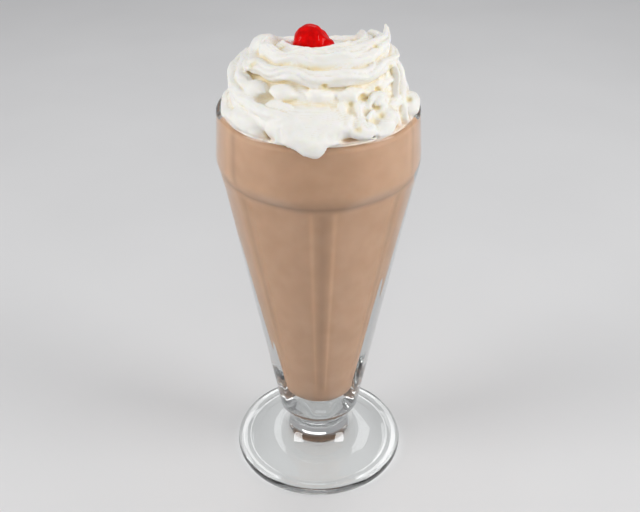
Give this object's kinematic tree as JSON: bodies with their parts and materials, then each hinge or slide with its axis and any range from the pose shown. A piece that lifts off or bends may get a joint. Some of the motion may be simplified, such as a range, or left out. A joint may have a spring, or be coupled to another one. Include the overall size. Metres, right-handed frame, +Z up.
{
  "type": "milkshake in a footed glass",
  "caption": "Light brown milkshake in a footed, panelled soda-fountain glass, topped with piped whipped cream and a cherry.",
  "frame": {"origin": "on the table under the middle of the glass's foot", "axes": "+Z up along the glass's axis, -Y towards the side the picture shows, +X to the right of the picture"},
  "size_m": [0.0894, 0.0894, 0.2237],
  "materials": {
    "glass": "clear polished",
    "milkshake": "smooth wet drink",
    "cream": "soft satin whipped cream",
    "cherry": "wet glossy"
  },
  "bodies": {
    "root": {"glass": "glass", "milkshake": "milkshake", "whipped_cream": "cream", "cherry": "cherry"}
  },
  "joints": []
}
